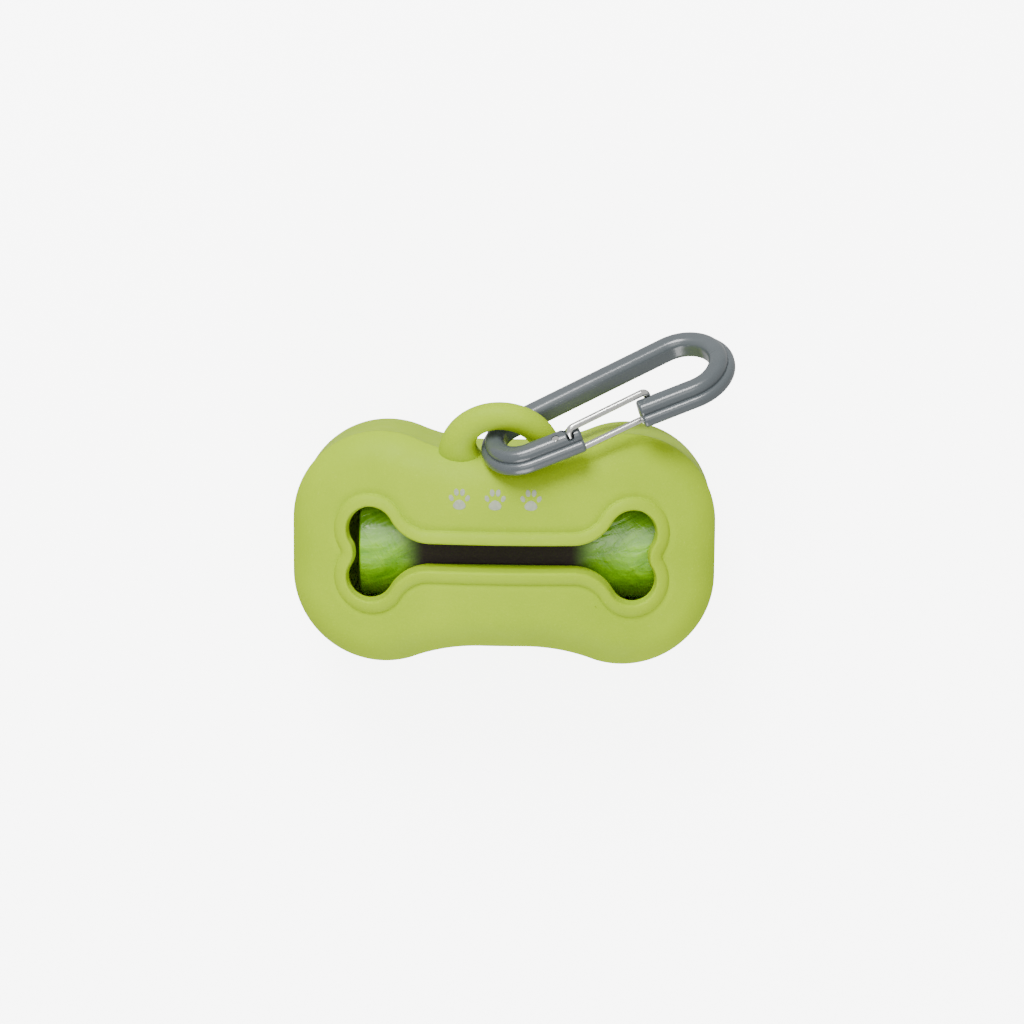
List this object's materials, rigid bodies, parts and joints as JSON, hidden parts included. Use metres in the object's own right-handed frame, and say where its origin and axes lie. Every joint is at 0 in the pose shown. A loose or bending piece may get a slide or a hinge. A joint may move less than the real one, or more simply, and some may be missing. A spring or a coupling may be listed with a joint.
{
  "type": "dog waste bag dispenser",
  "caption": "Bone-shaped soft silicone dispenser with a lipped dispensing slot, a hanging loop, a wire-gate carabiner and a bag roll inside.",
  "frame": {"origin": "centre of the flat back face that the case lies on, on its two symmetry planes", "axes": "+X along the case's long axis, +Y towards the hanging loop, +Z out of the front face with the window"},
  "size_m": [0.0883, 0.0668, 0.0388],
  "materials": {
    "silicone": "matte moulded silicone, lime green",
    "nylon": "glossy moulded nylon, mid grey",
    "wire": "drawn steel wire, plated",
    "card": "grey-brown card tube",
    "film": "thin green bag film"
  },
  "bodies": {
    "case": {"case": "silicone"},
    "clip": {"carabiner_body": "nylon"},
    "gate": {"gate_wire": "wire"},
    "bag_roll": {"roll_core": "card", "bag_01": "film", "bag_02": "film", "bag_03": "film", "bag_04": "film", "bag_05": "film", "bag_06": "film", "bag_07": "film", "bag_08": "film", "bag_09": "film", "bag_10": "film", "bag_11": "film", "bag_12": "film", "bag_13": "film", "bag_14": "film", "bag_15": "film"}
  },
  "joints": [
    {"name": "clip_swing", "type": "hinge", "parent": "case", "child": "clip", "pos_m": [0.00655, 0.02417, 0.0315], "axis": [-0.6074, 0.7014, 0.373], "range_deg": [-3, 30]},
    {"name": "gate_open", "type": "hinge", "parent": "clip", "child": "gate", "pos_m": [0.0108, 0.02234, 0.03614], "axis": [-0.238, 0.8106, 0.535], "range_deg": [0, 22], "stiffness_Nm_per_rad": 0.1, "springref_deg": -8.59},
    {"name": "roll_turn", "type": "hinge", "parent": "case", "child": "bag_roll", "pos_m": [0.0015, 0, 0.01505], "axis": [1, 0, 0], "continuous": true}
  ]
}
